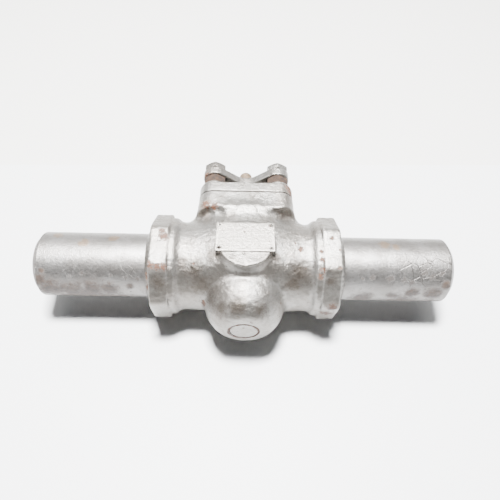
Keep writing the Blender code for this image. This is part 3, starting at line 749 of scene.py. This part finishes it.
def make_oxide(name, dark, light, metallic, roughness, grain, depth, paint_and_light_end=None):
    """Bare steel gone to oxide: mottled colour, matt, crusty, with a pale band up to a given end in Y, partly
    old paint and partly painted light.
    """
    material, tree, shader = new_material(name)
    place = add(tree, "ShaderNodeTexCoord").outputs["Object"]
    color = mixed(tree, step(tree, noise(tree, place, grain * 3, 7, 0.7), 0.35, 0.65), dark, light)
    color = mixed(tree, step(tree, noise(tree, place, grain, 6, 0.7), 0.55, 0.75), color, "#2C211B")
    # Painted light: the pale band at the low-Y end stands for the lit cover end of the nuts, over what old
    # paint is there.
    if paint_and_light_end:
        deep = add(tree, "ShaderNodeSeparateXYZ", {"Vector": place}).outputs["Y"]
        deep = math_node(tree, "MULTIPLY_ADD", noise(tree, place, 2.5), 0.003, deep)
        end = at(0, paint_and_light_end, 0)[1] + 0.0015
        color = mixed(tree, step(tree, deep, end + 0.0008, end - 0.0008), color, "#5C5044")
    rough = math_node(tree, "MULTIPLY_ADD", noise(tree, place, grain), 0.25, roughness - 0.12)
    finish(tree, shader, color, metallic, rough)
    bumped(tree, shader, (noise(tree, place, grain, 8, 0.7), depth), (noise(tree, place, 0.35, 3), 0.05))
    return material


def make_turned_metal(name, light, dark, metallic, roughness, pitch):
    """Metal with the fine rings that a lathe leaves round the bonnet axis, and faint handling marks."""
    material, tree, shader = new_material(name)
    place = add(tree, "ShaderNodeTexCoord").outputs["Object"]
    about = add(tree, "ShaderNodeVectorMath", {0: place, 1: at(0, 0, 0)}, operation="SUBTRACT").outputs[0]
    rings = add(tree, "ShaderNodeTexWave", {"Vector": about, "Scale": 1000 / pitch / 20, "Distortion": 1.5,
                                            "Detail": 2.0, "Detail Scale": 3.0},
                wave_type="RINGS", rings_direction="Y").outputs["Fac"]
    blot = step(tree, noise(tree, place, 4, 6, 0.65), 0.42, 0.66)
    color = mixed(tree, blot, light, dark)
    rough = math_node(tree, "MULTIPLY_ADD", rings, 0.06, roughness)
    rough = math_node(tree, "MULTIPLY_ADD", blot, 0.15, rough)
    finish(tree, shader, color, metallic, rough)
    bumped(tree, shader, (rings, 0.02), (noise(tree, place, 0.6, 4), 0.02))
    return material


SILVER_PAINT = make_silver_paint()
PIPE_PAINT = make_pipe_paint()
# Nuts and studs: dark brown rust, made darker as painted shade under the yoke, with a pale band at the cover
# end that is partly old paint, partly painted light. Spindle: tight brown oxide, dull shine.
RUST_AND_SHADE_STEEL = make_oxide("rusted_and_shaded_fastener_steel", "#1E1510", "#3A281B", 0.05, 0.9, 1.2, 0.3, 58.6)
BROWN_STEEL = make_oxide("browned_spindle_steel", "#54463B", "#84735F", 0.6, 0.5, 0.9, 0.1)
make_body()
make_pipes()
make_bottom_plug()
make_cover()
make_yoke()
make_fasteners()
make_spindle()
make_rating_plate()
# Inside pieces, cleaner than the outside: plain turned steel, bright stainless, straw-coloured
# bimetal strip and matt black graphite.
for slot, nodes, material in (
        ("machined_steel", ("gland_nut", "thrust_pad"),
         make_turned_metal("oily_machined_steel", "#8D8A86", "#5F5A55", 0.9, 0.34, 0.4)),
        ("stainless_steel", ("valve_seat", "valve", "stack_nut", "strainer_screen"),
         make_turned_metal("bright_stainless_steel", "#C9C8C6", "#A3A09C", 0.95, 0.24, 0.3)),
        ("bimetal_strip", tuple(f"bimetal_disc_{i}" for i in range(1, 7)),
         make_turned_metal("straw_bimetal_strip", "#BBAA88", "#8E7C5E", 0.9, 0.3, 0.25)),
        ("graphite_packing", ("cover_gasket", "gland_packing", "seat_gasket"),
         make_oxide("pressed_graphite", "#202022", "#37373A", 0.1, 0.65, 0.5, 0.08))):
    for node in nodes:
        dress(node, material)


# ---- Stage -----------------------------------------------------------------------------------------

def make_stage():
    """White table top, and a slightly warmer ground that starts behind it."""
    left, right = at(-244, 141, 0), at(263, 156, 0)
    along = (right - left).normalized()
    back = Vector((-along.y, along.x, 0))
    far, deep = 4.0, back * 3.5
    start, end = left - along * far, right + along * far
    start.z = end.z = 0
    for name, corners, color in (
            ("table_top", (start, end, end - deep, start - deep), "#CFD0D1"),
            ("backdrop", (start, end, end + deep, start + deep), "#CCCBC8")):
        mesh = bpy.data.meshes.new(name)
        mesh.from_pydata(corners, [], [(0, 1, 2, 3)])
        obj = bpy.data.objects.new(name, mesh)
        bpy.context.scene.collection.objects.link(obj)
        material, _, shader = new_material(f"plain_{name}")
        shader.inputs["Base Color"].default_value = linear(color)
        shader.inputs["Roughness"].default_value = 0.55
        mesh.materials.append(material)


def make_light():
    """A bright room over and behind the trap, dim towards the front, as in a light tent."""
    world = bpy.data.worlds.new("studio")
    bpy.context.scene.world = world
    world.use_nodes = True
    tree = world.node_tree
    direction = add(tree, "ShaderNodeTexCoord").outputs["Generated"]
    back = add(tree, "ShaderNodeVectorMath", {0: direction, 1: (0, 0.6, 0.8)}, operation="DOT_PRODUCT")
    bright = step(tree, back.outputs["Value"], 0.62, 0.95)
    glow = tree.nodes["Background"]
    tree.links.new(mixed(tree, bright, "#C9D6E6", "#FFFCF6"), glow.inputs["Color"])
    tree.links.new(math_node(tree, "MULTIPLY_ADD", bright, 2.4, 0.07), glow.inputs["Strength"])
    lamp = bpy.data.lights.new("ceiling_panel", "AREA")
    lamp.shape, lamp.size, lamp.size_y, lamp.energy = "RECTANGLE", 0.3, 0.22, 210.0
    panel = bpy.data.objects.new("ceiling_panel", lamp)
    bpy.context.scene.collection.objects.link(panel)
    panel.location = (-0.05, 0.12, 1.45)
    panel.rotation_euler = (Vector(panel.location) - CENTRE).to_track_quat("Z", "Y").to_euler()


def make_camera():
    """Looks down at the trap from the side of the domed end."""
    data = bpy.data.cameras.new("camera")
    data.lens, data.sensor_width = 35.0, 36.0
    camera = bpy.data.objects.new("camera", data)
    bpy.context.scene.collection.objects.link(camera)
    yaw, pitch, roll = (math.radians(angle) for angle in (-2.25, 55.07, 2.89))
    turn = (Matrix.Rotation(yaw, 4, "Z") @ Matrix.Rotation(math.pi / 2 - pitch, 4, "X")
            @ Matrix.Rotation(roll, 4, "Z"))
    camera.matrix_world = Matrix.Translation(at(-4.80, -204.51, 315.84)) @ turn
    bpy.context.scene.camera = camera


make_stage()
make_light()
make_camera()
